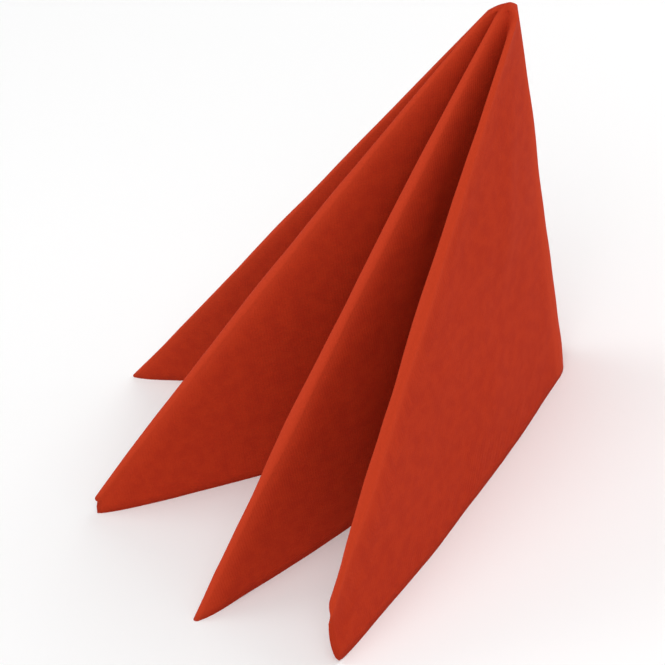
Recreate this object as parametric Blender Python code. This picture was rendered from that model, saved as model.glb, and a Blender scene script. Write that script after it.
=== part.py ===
"""Paper napkin: one square sheet of tissue, held at its middle and stood up as a fan of four pleats.

The middle of the sheet is the pinched top, and its four cut sides, folded double, are the lower edge
that stands on the table. Each level section of the sheet is a closed line that runs round a small
circle at every fold, so a row of the table below is a fold from the top of the napkin to its edge.

Metres, +Z up, with the origin on the table under the middle of the footprint.
"""

import math
from collections import namedtuple

import bmesh
import bpy

MM = 0.001

# Driving sizes in millimetres. The sheet is 400 square, so its corner folds are about 283 long.
HEIGHT = 193.0
NECK_DROP = 8.5  # from the top of the pinch down to the neck, where the pleats start
TOP_ROUNDING = 1.5  # the power of the pinch's profile: 1 is a cone and 2 a round dome
PAPER = 1.2
PINCH_MIDDLE = (7.0, -3.5)
FOOTPRINT_MIDDLE = (-98.25, -36.0)

OUTWARD = 1
INWARD = -1

# A row for each fold, in order round the sheet. The way is outward for a ridge and inward for a
# groove. Places are those of the fold's circle, at the lower edge and at the neck, from the line
# that the pleats spread from. The bow is how far a fold stands out half way down, and the belly is
# that of the panel after it, at the lower edge. Steps are parts of the arc, and run is the panel's.
Fold = namedtuple("Fold", "name way edge_x edge_y edge_r neck_x neck_y neck_r bow belly steps run")
FOLDS = (
    Fold("tip_1", OUTWARD, -182.0, 79.5, 2.5, -7.5, 2.5, 1.0, -1.0, 4.0, 6, 3),
    Fold("groove_12", INWARD, -15.5, 8.0, 1.5, -4.5, -0.5, 1.0, 0.0, 0.0, 5, 3),
    Fold("shoulder_2", OUTWARD, -200.0, -5.0, 7.5, -8.5, -3.0, 1.0, 2.0, 0.0, 4, 1),
    Fold("tip_2", OUTWARD, -205.0, -14.0, 2.5, -7.5, -5.5, 1.0, 2.0, 5.5, 6, 4),
    Fold("groove_23", INWARD, -15.0, 1.5, 1.5, -1.0, -3.0, 1.0, 0.0, 0.0, 5, 3),
    Fold("tip_3", OUTWARD, -173.0, -106.5, 2.0, -0.5, -8.5, 1.0, 5.0, 5.0, 6, 4),
    Fold("groove_34", INWARD, -12.5, -5.0, 1.5, 3.5, -4.5, 1.0, 0.0, 0.0, 5, 3),
    Fold("shoulder_4", OUTWARD, -105.5, -118.0, 13.0, 6.0, -10.5, 1.0, 1.5, 0.0, 4, 2),
    Fold("tip_4", OUTWARD, -118.5, -150.5, 3.5, 8.0, -10.0, 1.0, 1.5, 3.0, 6, 5),
    Fold("back", OUTWARD, -9.5, 10.0, 11.0, 9.5, 1.0, 1.5, 0.0, 0.0, 9, 4),
)

# How far down the sheet its rings lie: from the neck to the edge, and from the top to the neck
PLEAT_RINGS = (0.0, 0.05, 0.12, 0.22, 0.35, 0.50, 0.66, 0.83, 1.0)
TOP_RINGS = (0.16, 0.34, 0.54, 0.72, 0.88)

PAPER_COLOUR = (0.46, 0.035, 0.013, 1.0)


def blend(start, end, share):
    return start + (end - start) * share


def right_of(angle):
    """The unit step to the right of someone who walks at this angle."""
    return math.sin(angle), -math.cos(angle)


def fold_circles(down):
    """(x, y, radius) of each fold's circle, where down is 0 at the neck and 1 at the lower edge."""
    circles = []
    for fold in FOLDS:
        reach = math.hypot(fold.edge_x, fold.edge_y)
        out = 4 * down * (1 - down) * fold.bow / reach
        x = blend(fold.neck_x, fold.edge_x, down) + out * fold.edge_x
        y = blend(fold.neck_y, fold.edge_y, down) + out * fold.edge_y
        circles.append((x, y, blend(fold.neck_r, fold.edge_r, down)))
    return circles


def opened_circles(share):
    """The neck's circles with each groove moved out to its mouth, fully open at a share of 1."""
    circles = fold_circles(0.0)
    opened = list(circles)
    for place, fold in enumerate(FOLDS):
        if fold.way == OUTWARD:
            continue
        before = circles[place - 1]
        after = circles[place + 1]
        x, y, radius = circles[place]
        side = right_of(math.atan2(after[1] - before[1], after[0] - before[0]))
        lift = 0.8 * (radius + min(before[2], after[2]))
        mouth_x = (before[0] + after[0]) / 2 + side[0] * lift
        mouth_y = (before[1] + after[1]) / 2 + side[1] * lift
        opened[place] = (blend(x, mouth_x, share), blend(y, mouth_y, share), radius)
    return opened


def run_angle(start, start_way, end, end_way):
    """The angle of the straight run that leaves one fold's circle and meets the next."""
    across = end[0] - start[0]
    along = end[1] - start[1]
    swing = (end_way * end[2] - start_way * start[2]) / math.hypot(across, along)
    return math.atan2(along, across) - math.asin(swing)


def section(circles, offset, down):
    """Level points round the sheet, this far outside its middle surface."""
    ways = [fold.way for fold in FOLDS]
    folds = [(x, y, radius + way * offset) for (x, y, radius), way in zip(circles, ways)]
    count = len(folds)
    angles = []
    for place in range(count):
        after = (place + 1) % count
        angles.append(run_angle(folds[place], ways[place], folds[after], ways[after]))

    def on_circle(place, angle):
        x, y, radius = folds[place]
        side = right_of(angle)
        return x + ways[place] * radius * side[0], y + ways[place] * radius * side[1]

    points = []
    for place, fold in enumerate(FOLDS):
        arriving = angles[place - 1]
        leaving = angles[place]
        turn = (leaving - arriving) * fold.way % math.tau * fold.way
        for step in range(fold.steps + 1):
            points.append(on_circle(place, arriving + turn * step / fold.steps))
        start = points[-1]
        end = on_circle((place + 1) % count, leaving)
        side = right_of(leaving)
        for step in range(1, fold.run):
            share = step / fold.run
            belly = 4 * share * (1 - share) * fold.belly * down
            x = blend(start[0], end[0], share) + side[0] * belly
            y = blend(start[1], end[1], share) + side[1] * belly
            points.append((x, y))
    return points


def placed(points, height):
    """Points in metres, moved so that the footprint's middle is the origin."""
    middle_x, middle_y = FOOTPRINT_MIDDLE
    return [((x - middle_x) * MM, (y - middle_y) * MM, height * MM) for x, y in points]


def skin_rings(offset):
    """The rings of one face of the sheet, from its top to its lower edge."""
    neck_height = HEIGHT - NECK_DROP
    rise = NECK_DROP + offset - PAPER / 2
    rings = []
    for share in TOP_RINGS:
        ring = section(opened_circles(1 - share), offset, 0.0)
        middle_x, middle_y = PINCH_MIDDLE
        drawn_in = [(blend(middle_x, x, share), blend(middle_y, y, share)) for x, y in ring]
        rings.append(placed(drawn_in, neck_height + rise * (1 - share**TOP_ROUNDING)))
    for down in PLEAT_RINGS:
        ring = section(fold_circles(down), offset, down)
        rings.append(placed(ring, neck_height * (1 - down)))
    return rings


def start_ring(mesh, points):
    ring = [mesh.verts.new(point) for point in points]
    for start, end in zip(ring, ring[1:] + ring[:1]):
        mesh.edges.new((start, end))
    return ring


def extrude_ring(mesh, ring, points):
    """Draws the ring out to these points and returns the new ring, in the same order."""
    edges = [mesh.edges.get(pair) for pair in zip(ring, ring[1:] + ring[:1])]
    made = bmesh.ops.extrude_edge_only(mesh, edges=edges)["geom"]
    fresh = {item for item in made if isinstance(item, bmesh.types.BMVert)}
    drawn = []
    for vert, point in zip(ring, points):
        partner = next(edge.other_vert(vert) for edge in vert.link_edges if edge.other_vert(vert) in fresh)
        partner.co = point
        drawn.append(partner)
    return drawn


def close_ring(mesh, ring, height):
    """Draws the ring in to one point at the top of the pinch."""
    (point,) = placed([PINCH_MIDDLE], height)
    drawn = extrude_ring(mesh, ring, [point] * len(ring))
    bmesh.ops.pointmerge(mesh, verts=drawn, merge_co=point)


def paper_material():
    material = bpy.data.materials.new("red_tissue")
    material.use_nodes = True
    shader = material.node_tree.nodes["Principled BSDF"]
    shader.inputs["Base Color"].default_value = PAPER_COLOUR
    shader.inputs["Roughness"].default_value = 0.9
    shader.inputs["Metallic"].default_value = 0.0
    return material


def folded_sheet():
    """The outer face from top to edge, then the inner face from edge to top, as one closed skin."""
    outer = skin_rings(PAPER / 2)
    inner = skin_rings(-PAPER / 2)
    mesh = bmesh.new()
    top_ring = start_ring(mesh, outer[0])
    ring = top_ring
    for points in outer[1:] + inner[::-1]:
        ring = extrude_ring(mesh, ring, points)
    close_ring(mesh, top_ring, HEIGHT)
    close_ring(mesh, ring, HEIGHT - PAPER)
    bmesh.ops.recalc_face_normals(mesh, faces=mesh.faces)
    data = bpy.data.meshes.new("napkin")
    mesh.to_mesh(data)
    mesh.free()
    data.shade_smooth()
    data.set_sharp_from_angle(angle=math.radians(50))
    return data


def main():
    for item in list(bpy.data.objects):
        bpy.data.objects.remove(item)
    napkin = bpy.data.objects.new("napkin", folded_sheet())
    napkin.data.materials.append(paper_material())
    bpy.context.scene.collection.objects.link(napkin)


main()
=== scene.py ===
"""A red paper napkin, held at its middle and stood up as a fan of four pleats, in soft studio light.

The square sheet is made flat, as a net of rings and spokes about its middle, and then laid into its
folds. Each ring of the net becomes a level line round the napkin, from the pinched top down to the cut
edge on the table, and runs round a small circle at every fold. Creases are placed on the flat sheet.
"""

import logging
import math
from collections.abc import Callable
from dataclasses import dataclass, field
from enum import Enum

import bmesh
import bpy
import numpy as np
from mathutils import Euler, Matrix, Vector, noise


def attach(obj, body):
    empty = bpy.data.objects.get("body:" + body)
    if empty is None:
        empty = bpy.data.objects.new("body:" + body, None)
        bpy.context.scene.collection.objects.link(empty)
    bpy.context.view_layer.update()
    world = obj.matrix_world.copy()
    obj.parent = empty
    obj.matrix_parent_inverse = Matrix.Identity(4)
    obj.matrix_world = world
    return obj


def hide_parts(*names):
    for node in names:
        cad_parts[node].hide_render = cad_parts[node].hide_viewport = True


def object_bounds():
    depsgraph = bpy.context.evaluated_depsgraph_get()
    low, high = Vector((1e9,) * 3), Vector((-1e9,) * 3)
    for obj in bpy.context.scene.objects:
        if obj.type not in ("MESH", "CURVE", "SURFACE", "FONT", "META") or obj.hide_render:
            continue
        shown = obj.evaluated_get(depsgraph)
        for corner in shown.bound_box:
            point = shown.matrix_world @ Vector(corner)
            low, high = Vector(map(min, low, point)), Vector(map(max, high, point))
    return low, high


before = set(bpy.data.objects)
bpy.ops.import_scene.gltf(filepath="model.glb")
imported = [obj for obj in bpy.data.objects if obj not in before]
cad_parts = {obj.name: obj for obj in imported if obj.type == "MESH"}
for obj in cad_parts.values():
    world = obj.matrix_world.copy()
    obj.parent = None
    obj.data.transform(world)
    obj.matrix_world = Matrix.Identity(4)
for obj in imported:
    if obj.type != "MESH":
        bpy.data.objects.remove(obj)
CAD_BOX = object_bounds()

LOG = logging.getLogger("napkin")
MM = 0.001
FLAT_MAP = "flat"
# The mask of painted highlight along the crests of the ridges, from 0 to 1.
HIGHLIGHT_MASK = "fold"
SQUARE_SIDES = 4
WAVE_RATE = 20  # radians to a unit of length in the wave texture at a scale of 1
SEAM_GAP = 0.001  # in the flat net's own units, one to a ring

Circle = tuple[float, float, float]
Point = tuple[float, float, float]
Colour = tuple[float, float, float, float]


class Way(Enum):
    """Which way a fold turns the sheet, seen from outside the napkin."""

    RIDGE = 1
    GROOVE = -1

    @property
    def crest_highlight(self) -> float:
        """Return 1 for a ridge, whose crest gets a painted highlight, and 0 for a groove."""
        return 1.0 if self is Way.RIDGE else 0.0


def blend(start: float, end: float, share: float) -> float:
    """Return the value at this share of the way from start to end."""
    return start + (end - start) * share


def smooth(share: float) -> float:
    """Return a share from 0 to 1, eased at both ends."""
    share = min(max(share, 0.0), 1.0)
    return share * share * (3 - 2 * share)


def right_of(angle: float) -> tuple[float, float]:
    """Return the unit step to the right of someone who walks at this angle."""
    return math.sin(angle), -math.cos(angle)


def touch(circle: Circle, way: Way, angle: float) -> tuple[float, float]:
    """Return the point of a fold's circle where someone who walks at this angle meets it."""
    x, y, radius = circle
    side = right_of(angle)
    return x + way.value * radius * side[0], y + way.value * radius * side[1]


@dataclass(frozen=True)
class Fold:
    """One fold of the sheet, from the pinched top to the cut edge, in millimetres.

    The circle that the sheet turns round is given at the cut edge and at the neck under the top.

    Attributes:
        name: What the fold is called.
        way: Ridge or groove.
        edge: X, Y and radius of the fold's circle at the cut edge.
        neck: X, Y and radius of the fold's circle at the neck.
        side: Where the fold meets the cut edge, in sides of the square from the back fold.
        bow: How far the fold stands out half way down.
        widening: How much the circle's radius grows half way down.
        belly: How far the panel after the fold bulges outwards at the cut edge.
        plump: How far the panels bulge close beside the fold.
        arc: Parts of the arc.
        run: Parts of the panel after it.
        lift: How high above the table the fold meets the cut edge. Its circle is given on the table.
        tip: Parts of the run from a lifted fold to the sheet's corner, which is on the table.
        curl: How far that corner curls in.
    """

    name: str
    way: Way
    edge: Circle
    neck: Circle
    side: float
    bow: float
    widening: float
    belly: float
    plump: float
    arc: int
    run: int
    lift: float = 0.0
    tip: int = 0
    curl: float = 0.0


FOLDS = (
    Fold("ridge_1", Way.RIDGE, (-182.5, 79.5, 1.4), (-0.5, 0.6, 0.8), 0.5, -0.6, 0.8, 4.0, 0.8, 12, 60),
    Fold("groove_12", Way.GROOVE, (-15.5, 8.0, 1.5), (2.5, -0.8, 0.5), 1.0, 0.0, 0.0, 0.0, 0.0, 8, 60),
    Fold(
        "ridge_2", Way.RIDGE, (-213.3, -16.0, 1.0), (-3.8, -3.8, 0.9), 1.482, 2.2, 1.9, 8.0, 1.1, 14, 90,
        lift=7.0, tip=2, curl=1.4,
    ),
    Fold("groove_23", Way.GROOVE, (-15.0, 1.5, 1.5), (2.4, -3.4, 0.5), 2.0, 0.0, 0.0, 0.0, 0.0, 8, 60),
    Fold("ridge_3", Way.RIDGE, (-173.4, -107.0, 1.2), (1.4, -6.7, 1.0), 2.5, 1.9, 1.9, 3.6, 1.1, 14, 60),
    Fold("groove_34", Way.GROOVE, (-12.5, -5.0, 1.5), (8.0, -5.6, 0.5), 3.0, 0.0, 0.0, 0.0, 0.0, 8, 60),
    Fold(
        "ridge_4", Way.RIDGE, (-138.0, -177.5, 0.4), (9.4, -8.2, 0.7), 3.435, 1.0, 1.6, 4.5, 0.9, 14, 76,
        lift=29.0, tip=9, curl=3.0,
    ),
    Fold("back", Way.RIDGE, (-17.5, 14.0, 20.0), (9.7, 0.4, 1.2), 4.0, -1.2, 0.0, 0.0, 0.0, 20, 48),
)


@dataclass(frozen=True)
class Crease:
    """A soft crease in the sheet, placed on the flat square, in millimetres from its middle.

    Attributes:
        start: Where it starts.
        end: Where it fades out.
        rise: How far it stands out of the napkin, or into it below zero.
        width: How far it spreads to each side.
        overrun: How far it runs on past both ends, as a share of its length.
        fade: How much of its length it fades over at each end.
    """

    start: tuple[float, float]
    end: tuple[float, float]
    rise: float
    width: float
    overrun: float = 0.2
    fade: float = 0.5

    def height(self, x: float, y: float) -> float:
        """Work out how far the crease stands out at one place on the flat sheet.

        Args:
            x: X on the flat sheet.
            y: Y on the flat sheet.

        Returns:
            The height, which is 0 past both ends.
        """
        dx, dy = self.end[0] - self.start[0], self.end[1] - self.start[1]
        away_x, away_y = x - self.start[0], y - self.start[1]
        along = (away_x * dx + away_y * dy) / (dx * dx + dy * dy)
        if not -self.overrun < along < 1 + self.overrun:
            return 0.0
        off = abs(away_x * dy - away_y * dx) / math.hypot(dx, dy)
        ends = smooth((along + self.overrun) / self.fade)
        ends *= smooth((1 + self.overrun - along) / self.fade)
        return self.rise * math.exp(-((off / self.width) ** 2)) * ends


CREASES = (
    Crease((24, -13), (112, -48), 0.9, 7.0),
    Crease((26, -20), (96, -84), -0.7, 8.0),
    Crease((30, -5), (140, -14), -0.8, 9.0),
    Crease((150, -60), (196, -96), 0.7, 12.0),
    Crease((-14, -30), (-58, -104), -0.8, 7.0),
    Crease((-8, -34), (-18, -128), 0.7, 8.0),
    Crease((-34, 15), (-118, 62), -0.8, 8.0),
    Crease((-36, 6), (-132, 24), 0.8, 9.0),
    Crease((14, 34), (56, 118), 0.7, 9.0),
    Crease((34, 12), (128, 60), -0.9, 10.0),
)


@dataclass(frozen=True)
class Ripple:
    """Unevenness all over the tissue, in millimetres on the flat sheet.

    Attributes:
        pitch: The size of one ripple.
        rise: How far the ripples stand out.
        level: Where in the noise the ripples are cut.
    """

    pitch: float
    rise: float
    level: float

    def height(self, x: float, y: float) -> float:
        """Return how far the ripples stand out at one place on the flat sheet."""
        return noise.noise(Vector((x / self.pitch, y / self.pitch, self.level))) * self.rise


RIPPLES = (Ripple(42.0, 1.1, 3.7), Ripple(15.0, 0.28, 8.1))


@dataclass(frozen=True)
class CornerCurl:
    """How the sheet's corner curls in beside a lifted fold, whose own curl gives the size.

    Attributes:
        start: The level where the curl starts, from 0 at the neck to 1 at the cut edge.
        depth: How much further down it takes to reach its full size.
        end: Where on the panel it ends, as a share of the panel's length.
        strength: How strongly the short run to the corner is bent.
        spread: Where that bend would end, in lengths of the run.
        left: How much of the curl is left at the corner.
    """

    start: float = 0.74
    depth: float = 0.22
    end: float = 0.28
    strength: float = 1.6
    spread: float = 1.2
    left: float = 0.32

    def inward(self, fold: Fold, share: float, down: float) -> float:
        """Work out how far one point of the panel curls in.

        Args:
            fold: The lifted fold before the panel.
            share: The point's place on the panel, from 0 to 1.
            down: 0 at the neck and 1 at the cut edge.

        Returns:
            The distance inwards, to be scaled with the panel's bulge.
        """
        if down <= self.start:
            return 0.0
        low = smooth((down - self.start) / self.depth) / down
        corner = fold.tip / fold.run
        rise = share / corner
        if rise < 1:
            return fold.curl * low * (self.strength * math.sqrt(rise) * (self.spread - rise))
        fall = max(0.0, (self.end - share) / (self.end - corner))
        return fold.curl * low * (self.left * fall * fall)


@dataclass(frozen=True)
class TissueFinish:
    """Dyed soft tissue: matte, slightly mottled, with a fine pressed grain like linen, and a painted
    highlight along the crests of the ridges.

    Attributes:
        name: The material's name.
        dye: The sheet's colour.
        highlight_colour: The lighter colour painted along the crests of the ridges as a highlight; it
            also tints the sheen.
        deep: The colour of the darker mottle.
        roughness: How matte it is.
        specular: How much light its surface reflects.
        sheen: How much the fibres catch the light at a glance.
        sheen_roughness: How widely the sheen spreads.
        mottle_pitch: Size of the mottle in metres.
        mottle_range: The noise that gives the darkest and the lightest of the mottle.
        fibre_pitch: Size of the fibres in metres.
        fibre_share: How much the fibres break up the mottle.
        grain_pitch: Distance between the pressed lines in metres.
        grain_share: How high the pressed lines stand beside the fibres.
        bump_strength: How strongly the fibres and lines turn the light.
        bump_height: The fibres' height in metres.
    """

    name: str = "red_tissue"
    dye: Colour = (0.448, 0.0325, 0.0090, 1.0)
    highlight_colour: Colour = (0.50, 0.042, 0.013, 1.0)
    deep: Colour = (0.41, 0.0275, 0.0085, 1.0)
    roughness: float = 0.92
    specular: float = 0.08
    sheen: float = 0.13
    sheen_roughness: float = 0.6
    mottle_pitch: float = 0.006
    mottle_range: tuple[float, float] = (0.38, 0.62)
    fibre_pitch: float = 0.0014
    fibre_share: float = 0.35
    grain_pitch: float = 0.0012
    grain_share: float = 0.35
    bump_strength: float = 0.8
    bump_height: float = 0.00012

    def material(self) -> bpy.types.Material:
        """Build the material.

        Returns:
            The tissue's material, which reads the sheet's own flat map and its mask of painted highlight
            on the crests.
        """
        material = bpy.data.materials.new(self.name)
        material.use_nodes = True
        tree = material.node_tree
        shader = tree.nodes["Principled BSDF"]
        shader.inputs["Roughness"].default_value = self.roughness
        shader.inputs["Specular IOR Level"].default_value = self.specular
        shader.inputs["Sheen Weight"].default_value = self.sheen
        shader.inputs["Sheen Roughness"].default_value = self.sheen_roughness
        shader.inputs["Sheen Tint"].default_value = self.highlight_colour
        flat = tree.nodes.new("ShaderNodeUVMap")
        flat.uv_map = FLAT_MAP
        mottle = self._noise(tree, flat, self.mottle_pitch, 4.0)
        fibres = self._noise(tree, flat, self.fibre_pitch, 3.0)
        tree.links.new(self._colour(tree, mottle, fibres), shader.inputs["Base Color"])
        tree.links.new(self._bump(tree, flat, fibres), shader.inputs["Normal"])
        return material

    def _noise(
        self, tree: bpy.types.NodeTree, flat: bpy.types.Node, pitch: float, detail: float
    ) -> bpy.types.NodeSocket:
        """Add a noise over the flat sheet.

        Args:
            tree: The material's nodes.
            flat: The node that gives the place on the flat sheet.
            pitch: The size of its spots in metres.
            detail: How many finer layers it has.

        Returns:
            The socket that carries the noise.
        """
        spots = tree.nodes.new("ShaderNodeTexNoise")
        spots.inputs["Scale"].default_value = 1 / pitch
        spots.inputs["Detail"].default_value = detail
        tree.links.new(flat.outputs["UV"], spots.inputs["Vector"])
        return spots.outputs["Fac"]

    def _colour(
        self, tree: bpy.types.NodeTree, mottle: bpy.types.NodeSocket, fibres: bpy.types.NodeSocket
    ) -> bpy.types.NodeSocket:
        """Mix the dye, its darker mottle and the painted highlight along the crests of the ridges.

        Args:
            tree: The material's nodes.
            mottle: The coarse noise.
            fibres: The fine noise.

        Returns:
            The socket that carries the colour.
        """
        nodes, links = tree.nodes, tree.links
        clouds = nodes.new("ShaderNodeMath")
        clouds.operation = "MULTIPLY_ADD"
        clouds.inputs[1].default_value = self.fibre_share
        clouds.inputs[2].default_value = -self.fibre_share / 2
        links.new(fibres, clouds.inputs[0])
        mixed = nodes.new("ShaderNodeMath")
        mixed.operation = "ADD"
        links.new(mottle, mixed.inputs[0])
        links.new(clouds.outputs["Value"], mixed.inputs[1])
        patches = nodes.new("ShaderNodeMapRange")
        patches.inputs["From Min"].default_value = self.mottle_range[0]
        patches.inputs["From Max"].default_value = self.mottle_range[1]
        links.new(mixed.outputs["Value"], patches.inputs["Value"])
        dyed = nodes.new("ShaderNodeMix")
        dyed.data_type = "RGBA"
        dyed.inputs["A"].default_value = self.deep
        dyed.inputs["B"].default_value = self.dye
        links.new(patches.outputs["Result"], dyed.inputs["Factor"])
        # Painted highlight: the crests of the ridges are lightened, standing in for light caught by the
        # rounded folds.
        fold = nodes.new("ShaderNodeAttribute")
        fold.attribute_name = HIGHLIGHT_MASK
        highlighted = nodes.new("ShaderNodeMix")
        highlighted.data_type = "RGBA"
        highlighted.inputs["B"].default_value = self.highlight_colour
        links.new(fold.outputs["Fac"], highlighted.inputs["Factor"])
        links.new(dyed.outputs["Result"], highlighted.inputs["A"])
        return highlighted.outputs["Result"]

    def _bump(
        self, tree: bpy.types.NodeTree, flat: bpy.types.Node, fibres: bpy.types.NodeSocket
    ) -> bpy.types.NodeSocket:
        """Raise the fibres and the pressed lines.

        Args:
            tree: The material's nodes.
            flat: The node that gives the place on the flat sheet.
            fibres: The fine noise.

        Returns:
            The socket that carries the normal.
        """
        nodes, links = tree.nodes, tree.links
        grain = nodes.new("ShaderNodeMath")
        grain.operation = "ADD"
        for turn, socket in ((0.0, 0), (math.pi / 2, 1)):
            links.new(self._pressed_lines(tree, flat, turn), grain.inputs[socket])
        height = nodes.new("ShaderNodeMath")
        height.operation = "MULTIPLY_ADD"
        height.inputs[1].default_value = self.grain_share
        links.new(grain.outputs["Value"], height.inputs[0])
        links.new(fibres, height.inputs[2])
        bump = nodes.new("ShaderNodeBump")
        bump.inputs["Strength"].default_value = self.bump_strength
        bump.inputs["Distance"].default_value = self.bump_height
        links.new(height.outputs["Value"], bump.inputs["Height"])
        return bump.outputs["Normal"]

    def _pressed_lines(
        self, tree: bpy.types.NodeTree, flat: bpy.types.Node, turn: float
    ) -> bpy.types.NodeSocket:
        """Add one set of fine pressed lines across the flat sheet.

        Args:
            tree: The material's nodes.
            flat: The node that gives the place on the flat sheet.
            turn: The lines' angle on the sheet, in radians.

        Returns:
            The socket that carries the lines' height.
        """
        mapping = tree.nodes.new("ShaderNodeMapping")
        mapping.inputs["Rotation"].default_value = (0.0, 0.0, turn)
        lines = tree.nodes.new("ShaderNodeTexWave")
        lines.inputs["Scale"].default_value = math.tau / (WAVE_RATE * self.grain_pitch)
        lines.inputs["Distortion"].default_value = 0.6
        lines.inputs["Detail"].default_value = 2.0
        tree.links.new(flat.outputs["UV"], mapping.inputs["Vector"])
        tree.links.new(mapping.outputs["Vector"], lines.inputs["Vector"])
        return lines.outputs["Fac"]


@dataclass
class NapkinSheet:
    """The napkin's one square sheet, folded and stood up.

    Sizes are in millimetres. The folds are measured from the line that the pleats spread from.

    Attributes:
        finish: The tissue.
        side: The flat sheet's side.
        height: The top of the pinch above the table.
        neck_drop: From the top of the pinch to the neck, where the pleats start.
        neck_share: The neck's ring on the flat sheet, as a share of the way to the cut edge.
        top_rounding: The power of the pinch's profile: 1 is a cone and 2 a round dome.
        pinch: The pinch's middle.
        footprint: The middle of the footprint.
        paper: The tissue's thickness.
        sway: How far a panel bends out beside a ridge and in beside a groove.
        plump_reach: How far from a fold the panels bulge most.
        highlight_reach: How far from a ridge the painted highlight on its crest fades.
        nose: How much of a lifted fold's lift is lost round its arc.
        landing: How softly the cut edge comes down from a lifted fold to the table.
        shallow: How far the grooves are open at the neck, as a share of their depth.
        mouth_rise: How far a fully open groove stands out past the middles of the ridges beside it,
            as a share of the radii.
        mouth_end: Where the grooves of the top would reach their full depth, as a share of the way
            from the sheet's middle to the neck.
        mouth_fade: The share of that way that they deepen over.
        closing: How fast the grooves deepen below the neck.
        relief_start: The share of the way to the cut edge where creases and ripples start.
        relief_ease: The share of that way that they grow over.
        folds: The folds in order round the sheet.
        creases: The soft creases.
        ripples: The tissue's unevenness.
        corner_curl: How the corners curl in beside the lifted folds.
        pleat_rings: Rings from the neck to the cut edge.
        ring_power: The power that packs these rings closer under the neck.
        levels: Levels that the pleats are worked out on.
        top_rings: Rings from the middle of the sheet to the neck.
        spokes: Points of a ring.
    """

    finish: TissueFinish
    side: float = 400.0
    height: float = 192.0
    neck_drop: float = 4.0
    neck_share: float = 0.045
    top_rounding: float = 1.5
    pinch: tuple[float, float] = (7.0, -3.5)
    footprint: tuple[float, float] = (-98.25, -36.0)
    paper: float = 0.5
    sway: float = 1.2
    plump_reach: float = 9.0
    highlight_reach: float = 3.0
    nose: float = 0.2
    landing: float = 0.1
    shallow: float = 0.5
    mouth_rise: float = 0.8
    mouth_end: float = 0.95
    mouth_fade: float = 0.5
    closing: float = 7.0
    relief_start: float = 0.06
    relief_ease: float = 0.4
    folds: tuple[Fold, ...] = FOLDS
    creases: tuple[Crease, ...] = CREASES
    ripples: tuple[Ripple, ...] = RIPPLES
    corner_curl: CornerCurl = CornerCurl()
    pleat_rings: int = 62
    ring_power: float = 1.25
    levels: int = 121
    top_rings: int = 14
    spokes: int = field(init=False)

    def __post_init__(self) -> None:
        """Count the points of a ring."""
        self.spokes = sum(fold.arc + fold.run for fold in self.folds)

    def circles(self, down: float) -> list[Circle]:
        """Find each fold's circle on one level.

        Args:
            down: 0 at the neck and 1 at the cut edge.

        Returns:
            X, Y and radius of each circle.
        """
        found = []
        for fold in self.folds:
            x, y, radius = (blend(neck, edge, down) for neck, edge in zip(fold.neck, fold.edge))
            middle = 4 * down * (1 - down)
            out = middle * fold.bow / math.hypot(*fold.edge[:2])
            radius += middle * fold.widening
            found.append((x + out * fold.edge[0], y + out * fold.edge[1], radius))
        return found

    def opened(self, circles: list[Circle], share: float) -> list[Circle]:
        """Move each groove of a level out towards its mouth.

        Args:
            circles: X, Y and radius of each fold's circle.
            share: 0 leaves the grooves as they are, and 1 opens them fully.

        Returns:
            X, Y and radius of each circle.
        """
        moved = list(circles)
        for place, fold in enumerate(self.folds):
            if fold.way is Way.RIDGE:
                continue
            before, groove, after = circles[place - 1], circles[place], circles[place + 1]
            side = right_of(math.atan2(after[1] - before[1], after[0] - before[0]))
            lift = self.mouth_rise * (groove[2] + min(before[2], after[2]))
            mouth = [(before[axis] + after[axis]) / 2 + side[axis] * lift for axis in (0, 1)]
            x, y = (blend(groove[axis], mouth[axis], share) for axis in (0, 1))
            moved[place] = (x, y, groove[2])
        return moved

    def run_angles(self, circles: list[Circle]) -> list[float]:
        """Find the angle of the straight run from each circle to the next.

        Args:
            circles: X, Y and radius of each fold's circle.

        Returns:
            One angle for each fold, in radians.
        """
        angles = []
        for place, (start, end) in enumerate(zip(circles, circles[1:] + circles[:1])):
            after = (place + 1) % len(circles)
            gap = self.folds[after].way.value * end[2] - self.folds[place].way.value * start[2]
            across, along = end[0] - start[0], end[1] - start[1]
            angles.append(math.atan2(along, across) - math.asin(gap / math.hypot(across, along)))
        return angles

    def level_line(self, circles: list[Circle], down: float) -> list[Point]:
        """Walk once round the sheet on one level.

        Args:
            circles: X, Y and radius of each fold's circle.
            down: 0 at the neck and 1 at the cut edge.

        Returns:
            X and Y of each point, and the share of painted highlight for a ridge's crest, from 0 to 1.
        """
        angles = self.run_angles(circles)
        points = []
        for place, fold in enumerate(self.folds):
            ahead = (place + 1) % len(self.folds)
            after = self.folds[ahead]
            arriving, leaving = angles[place - 1], angles[place]
            turn = (leaving - arriving) * fold.way.value % math.tau * fold.way.value
            for step in range(fold.arc):
                angle = arriving + turn * step / fold.arc
                points.append((*touch(circles[place], fold.way, angle), fold.way.crest_highlight))
            start = touch(circles[place], fold.way, leaving)
            end = touch(circles[ahead], after.way, leaving)
            side = right_of(leaving)
            reach = math.dist(start, end)
            for step in range(fold.run):
                share = step / fold.run
                out = self.bulge(fold, after, share, reach)
                if fold.curl:
                    out -= self.corner_curl.inward(fold, share, down)
                # Painted highlight: strongest on a ridge's crest, fading away from it.
                near = max(
                    fold.way.crest_highlight * math.exp(-share * reach / self.highlight_reach),
                    after.way.crest_highlight * math.exp(-(1 - share) * reach / self.highlight_reach),
                )
                x = blend(start[0], end[0], share) + side[0] * out * down
                y = blend(start[1], end[1], share) + side[1] * out * down
                points.append((x, y, near))
        return points

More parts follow.
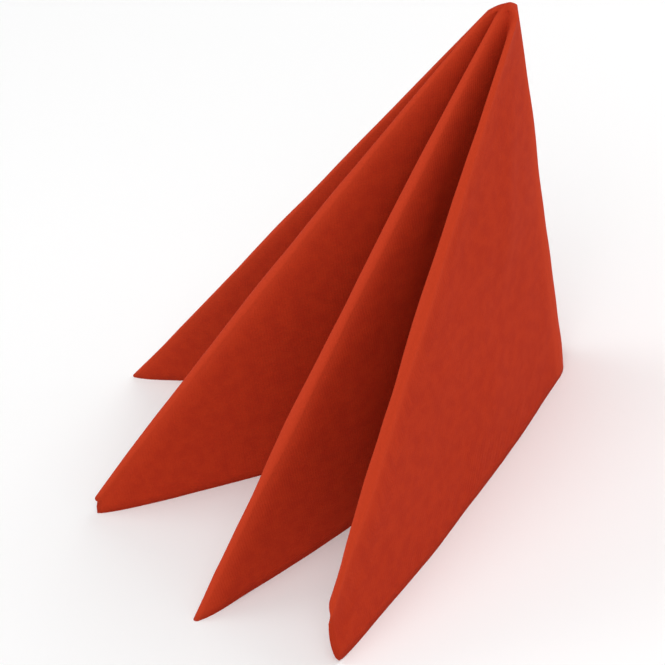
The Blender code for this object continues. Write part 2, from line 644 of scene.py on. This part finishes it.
    def bulge(self, fold: Fold, after: Fold, share: float, reach: float) -> float:
        """Work out how far a panel stands out of the straight run between two folds.

        Args:
            fold: The fold before the panel.
            after: The fold after it.
            share: The place on the panel, from 0 to 1.
            reach: The panel's length on this level.

        Returns:
            The distance outwards, for the cut edge.
        """
        bend = (fold.way.value - after.way.value) / 2
        out = 4 * share * (1 - share) * fold.belly
        out += math.sin(math.tau * share) * bend * self.sway
        out += fold.plump * self.swell(share * reach)
        out += after.plump * self.swell((1 - share) * reach)
        return out

    def swell(self, away: float) -> float:
        """Return how much of a fold's plumpness is left at this distance from it."""
        share = away / self.plump_reach
        return share * math.exp(1 - share)

    def sides(self, ring: np.ndarray) -> list[float]:
        """Find where each point of a ring lies round the flat square.

        Args:
            ring: The points of one ring, as rings gives them.

        Returns:
            The place of each point, in sides of the square from the back fold.
        """
        steps = np.linalg.norm(np.roll(ring, -1, axis=0)[:, :2] - ring[:, :2], axis=1)
        lengths = np.concatenate([[0.0], np.cumsum(steps)])
        marks, places = [], []
        first = 0
        for fold in self.folds:
            middle = first + fold.arc / 2
            marks.append(float(np.interp(middle, range(len(lengths)), lengths)))
            places.append(fold.side)
            if fold.tip:
                marks.append(float(lengths[first + fold.arc + fold.tip]))
                places.append(math.floor(fold.side) + 0.5)
            first += fold.arc + fold.run
        marks = [marks[-1] - lengths[-1], *marks, marks[0] + lengths[-1]]
        places = [places[-1] - SQUARE_SIDES, *places, places[0] + SQUARE_SIDES]
        return [float(place) for place in np.interp(lengths[:-1], marks, places)]

    def flat_place(self, place: float, share: float) -> tuple[float, float]:
        """Find a point of the flat sheet.

        Args:
            place: The place round the square, in sides from the back fold.
            share: The ring, from 0 at the middle to 1 at the cut edge.

        Returns:
            X and Y from the sheet's middle.
        """
        side, along = divmod(place + 0.5, 1.0)
        angle = side * math.pi / 2
        up = 2 * along - 1
        half = self.side / 2 * share
        return (
            half * (math.cos(angle) - up * math.sin(angle)),
            half * (math.sin(angle) + up * math.cos(angle)),
        )

    def reaches(self) -> list[float]:
        """Find how far down each spoke of the net reaches, where 1 is the table.

        Returns:
            One share for each spoke: less than 1 where a lifted fold raises the cut edge.
        """
        neck_height = self.height - self.neck_drop
        found = []
        for place, fold in enumerate(self.folds):
            after = self.folds[(place + 1) % len(self.folds)]
            found += [fold.lift * (1 - self.nose * step / fold.arc) for step in range(fold.arc)]
            for step in range(fold.run):
                left = 1 - step / fold.tip if fold.tip else 0.0
                falling = (1 - self.nose) * (left + math.hypot(left, self.landing)) / 2
                found.append(fold.lift * falling + after.lift * step / fold.run)
        return [1 - lift / neck_height for lift in found]

    def rings(self) -> tuple[np.ndarray, list[float]]:
        """Lay every ring of the net, from the sheet's middle outwards.

        Returns:
            X, Y, height and share of painted highlight for each ring and spoke, and each ring's
            share of the way to the cut edge.
        """
        tops = [place / self.top_rings for place in range(self.top_rings)]
        steps = range(self.pleat_rings + 1)
        pleats = [(place / self.pleat_rings) ** self.ring_power for place in steps]
        laid = self._lay_top(tops) + self._lay_pleats(pleats)
        shares = [share * self.neck_share for share in tops]
        shares += [blend(self.neck_share, 1.0, share) for share in pleats]
        return np.array(laid), shares

    def _lay_top(self, tops: list[float]) -> list[np.ndarray]:
        """Lay the rings of the pinched top, whose grooves are open at its middle.

        Args:
            tops: Each ring's share of the way from the sheet's middle to the neck.

        Returns:
            X, Y, height and share of painted highlight of the points of each ring.
        """
        circles = self.circles(0.0)
        laid = []
        for share in tops:
            mouths = max(self.shallow, smooth((self.mouth_end - share) / self.mouth_fade))
            line = self.level_line(self.opened(circles, mouths), 0.0)
            level = self.height - self.neck_drop + self.neck_drop * (1 - share**self.top_rounding)
            ring = [
                (blend(self.pinch[0], x, share), blend(self.pinch[1], y, share), level, crest_highlight * share)
                for x, y, crest_highlight in line
            ]
            laid.append(np.array(ring))
        return laid

    def _lay_pleats(self, pleats: list[float]) -> list[np.ndarray]:
        """Lay the rings of the pleats.

        Each spoke is cut at its own level, so that a ring can rise over a lifted fold.

        Args:
            pleats: Each ring's share of the way from the neck to the cut edge.

        Returns:
            X, Y, height and share of painted highlight of the points of each ring.
        """
        walked = []
        for down in np.linspace(0.0, 1.0, self.levels):
            mouths = self.shallow * math.exp(-self.closing * down)
            walked.append(self.level_line(self.opened(self.circles(down), mouths), down))
        lines = np.array(walked)
        reaches = np.array(self.reaches())
        spokes = np.arange(self.spokes)
        laid = []
        for share in pleats:
            wanted = share * reaches * (self.levels - 1)
            below = np.minimum(wanted.astype(int), self.levels - 2)
            part = (wanted - below)[:, None]
            line = lines[below, spokes] * (1 - part) + lines[below + 1, spokes] * part
            heights = (self.height - self.neck_drop) * (1 - share * reaches)
            laid.append(np.column_stack([line[:, :2], heights, line[:, 2]]))
        return laid

    def relief(self, x: float, y: float, share: float) -> float:
        """Work out how far the tissue stands out of its folded shape.

        Args:
            x: X on the flat sheet.
            y: Y on the flat sheet.
            share: The ring, from 0 at the middle to 1 at the cut edge.

        Returns:
            The height of the creases and ripples.
        """
        total = 0.0
        for unevenness in (*self.creases, *self.ripples):
            total += unevenness.height(x, y)
        return total * smooth((share - self.relief_start) / self.relief_ease)

    def net(self) -> bmesh.types.BMesh:
        """Spin a spoke round the sheet's middle into a flat net of rings.

        Returns:
            The net, with ring r at a distance of r from the middle.
        """
        rings = self.top_rings + self.pleat_rings
        mesh = bmesh.new()
        spoke = [mesh.verts.new((ring, 0.0, 0.0)) for ring in range(rings + 1)]
        edges = [mesh.edges.new(pair) for pair in zip(spoke, spoke[1:])]
        bmesh.ops.spin(
            mesh,
            geom=spoke + edges,
            cent=(0.0, 0.0, 0.0),
            axis=(0.0, 0.0, 1.0),
            angle=math.tau,
            steps=self.spokes,
            use_merge=True,
        )
        bmesh.ops.remove_doubles(mesh, verts=mesh.verts, dist=SEAM_GAP)
        return mesh

    def build(self, floor: bpy.types.Object) -> bpy.types.Object:
        """Make the folded sheet and dress it.

        Args:
            floor: What it stands on; not used.

        Returns:
            The napkin's object.
        """
        mesh = self.net()
        laid, shares = self.rings()
        sides = [self.sides(ring) for ring in laid]
        flats: dict[int, tuple[float, float]] = {}
        reliefs: dict[int, float] = {}
        crest_highlights: dict[int, float] = {}
        mesh.verts.index_update()
        for vert in mesh.verts:
            ring = round(vert.co.length)
            turn = math.atan2(vert.co.y, vert.co.x) % math.tau
            spoke = round(turn / math.tau * self.spokes) % self.spokes
            x, y, level, crest_highlight = laid[ring, spoke]
            vert.co = (
                (x - self.footprint[0]) * MM,
                (y - self.footprint[1]) * MM,
                level * MM,
            )
            flat = self.flat_place(sides[ring][spoke], shares[ring])
            flats[vert.index] = flat
            reliefs[vert.index] = self.relief(*flat, shares[ring])
            crest_highlights[vert.index] = crest_highlight
        bmesh.ops.recalc_face_normals(mesh, faces=mesh.faces)
        mesh.normal_update()
        for vert in mesh.verts:
            out = Vector((vert.normal.x, vert.normal.y, 0.0))
            vert.co += out * reliefs[vert.index] * MM
        self._lay_flat_map(mesh, flats)
        data = bpy.data.meshes.new("napkin_sheet")
        mesh.to_mesh(data)
        mesh.free()
        # Painted highlight: the mask that lightens the crests of the ridges in the material.
        mask = data.attributes.new(HIGHLIGHT_MASK, "FLOAT", "POINT")
        mask.data.foreach_set("value", [crest_highlights[index] for index in range(len(data.vertices))])
        data.shade_smooth()
        napkin = bpy.data.objects.new("napkin_sheet", data)
        bpy.context.scene.collection.objects.link(napkin)
        data.materials.append(self.finish.material())
        tissue = napkin.modifiers.new("tissue", "SOLIDIFY")
        tissue.thickness = self.paper * MM
        tissue.offset = 0.0
        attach(napkin, "root")
        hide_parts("napkin")
        return napkin

    def _lay_flat_map(self, mesh: bmesh.types.BMesh, flats: dict[int, tuple[float, float]]) -> None:
        """Give each corner of each face its place on the flat sheet, in metres.

        Args:
            mesh: The net.
            flats: The place of each vertex on the flat sheet, in millimetres.
        """
        layer = mesh.loops.layers.uv.new(FLAT_MAP)
        for face in mesh.faces:
            for loop in face.loops:
                x, y = flats[loop.vert.index]
                loop[layer].uv = (x * MM, y * MM)


@dataclass(frozen=True)
class SoftBox:
    """One large studio light.

    Attributes:
        name: The light's name.
        azimuth: The side it shines from, in degrees: 0 is the front and 90 the right.
        elevation: Its height, in degrees above the table.
        power: Its power in watts.
        distance: Its distance in metres.
        size: Its side in metres.
    """

    name: str
    azimuth: float
    elevation: float
    power: float
    distance: float = 2.0
    size: float = 1.2

    def build(self, aim: Vector) -> bpy.types.Object:
        """Hang the light.

        Args:
            aim: The point that it faces.

        Returns:
            The light's object.
        """
        data = bpy.data.lights.new(self.name, "AREA")
        data.size = self.size
        data.energy = self.power
        light = bpy.data.objects.new(self.name, data)
        side, up = math.radians(self.azimuth), math.radians(self.elevation)
        level = math.cos(up)
        away = Vector((math.sin(side) * level, -math.cos(side) * level, math.sin(up)))
        light.location = aim + away * self.distance
        light.rotation_euler = away.to_track_quat("Z", "Y").to_euler()
        bpy.context.scene.collection.objects.link(light)
        return light


@dataclass
class Studio:
    """The floor and the light.

    Attributes:
        floor_side: The floor's side in metres.
        floor_colour: The floor's colour.
        floor_roughness: How matte the floor is.
        air_colour: The colour of the room's light.
        air: The brightness of the room.
        lights: The lights.
    """

    floor_side: float = 12.0
    floor_colour: Colour = (0.95, 0.95, 0.95, 1.0)
    floor_roughness: float = 0.9
    air_colour: Colour = (1.0, 1.0, 1.0, 1.0)
    air: float = 0.40
    lights: tuple[SoftBox, ...] = (
        SoftBox("key", 0.0, 50.0, 9.8),
        SoftBox("overhead", 0.0, 85.0, 8.0),
        SoftBox("front", 0.0, 22.0, 3.6),
        SoftBox("left", -50.0, 22.0, 4.4),
        SoftBox("right", 70.0, 22.0, 4.0),
        SoftBox("behind_left", -120.0, 22.0, 10.7),
        SoftBox("behind_right", 120.0, 32.0, 13.0),
    )

    def floor(self) -> bpy.types.Object:
        """Lay the floor.

        Returns:
            The floor's object.
        """
        mesh = bmesh.new()
        bmesh.ops.create_grid(mesh, x_segments=1, y_segments=1, size=self.floor_side / 2)
        data = bpy.data.meshes.new("floor")
        mesh.to_mesh(data)
        mesh.free()
        material = bpy.data.materials.new("pale_floor")
        material.use_nodes = True
        shader = material.node_tree.nodes["Principled BSDF"]
        shader.inputs["Base Color"].default_value = self.floor_colour
        shader.inputs["Roughness"].default_value = self.floor_roughness
        data.materials.append(material)
        floor = bpy.data.objects.new("floor", data)
        bpy.context.scene.collection.objects.link(floor)
        return floor

    def light(self) -> None:
        """Light the room and hang the lights."""
        world = bpy.data.worlds.new("room")
        world.use_nodes = True
        air = world.node_tree.nodes["Background"]
        air.inputs["Color"].default_value = self.air_colour
        air.inputs["Strength"].default_value = self.air
        scene = bpy.context.scene
        scene.world = world
        scene.view_settings.view_transform = "Standard"
        low, high = (Vector(corner) for corner in CAD_BOX)
        for softbox in self.lights:
            softbox.build((low + high) / 2)
        LOG.info("built the room and %d lights", len(self.lights))


@dataclass(frozen=True)
class Viewpoint:
    """The photograph's point of view.

    Attributes:
        place: Where the camera stands, in metres.
        elevation: How steeply it looks down, in degrees.
        roll: How far it is turned about its own axis, in degrees.
        lens: The focal length in millimetres.
        sensor: The picture's width on the film, in millimetres.
        horizon: How far it sees, in metres.
    """

    place: Point = (0.00575, -1.4381, 1.0372)
    elevation: float = 33.76
    roll: float = -12.98
    lens: float = 224.93
    sensor: float = 36.0
    horizon: float = 50.0

    def build(self) -> bpy.types.Object:
        """Set up the camera.

        Returns:
            The camera's object.
        """
        data = bpy.data.cameras.new("camera")
        data.lens = self.lens
        data.sensor_width = self.sensor
        data.clip_end = self.horizon
        camera = bpy.data.objects.new("camera", data)
        tilt = Euler((math.pi / 2 - math.radians(self.elevation), 0.0, 0.0)).to_matrix().to_4x4()
        turn = Matrix.Rotation(math.radians(self.roll), 4, "Z")
        camera.matrix_world = Matrix.Translation(self.place) @ tilt @ turn
        bpy.context.scene.collection.objects.link(camera)
        bpy.context.scene.camera = camera
        return camera


def report(name: str, build: Callable[[], bpy.types.Object]) -> bpy.types.Object:
    """Build one thing and log it.

    Args:
        name: What it is.
        build: The function that builds it.

    Returns:
        What was built.
    """
    built = build()
    LOG.info("built %s", name)
    return built


def main() -> None:
    """Build the napkin and its studio."""
    logging.basicConfig(level=logging.INFO, format="%(name)s: %(message)s")
    studio = Studio()
    napkin = NapkinSheet(finish=TissueFinish())
    floor = report("floor", studio.floor)
    report("napkin sheet", lambda: napkin.build(floor))
    studio.light()
    report("camera", Viewpoint().build)


if __name__ == "__main__":
    main()
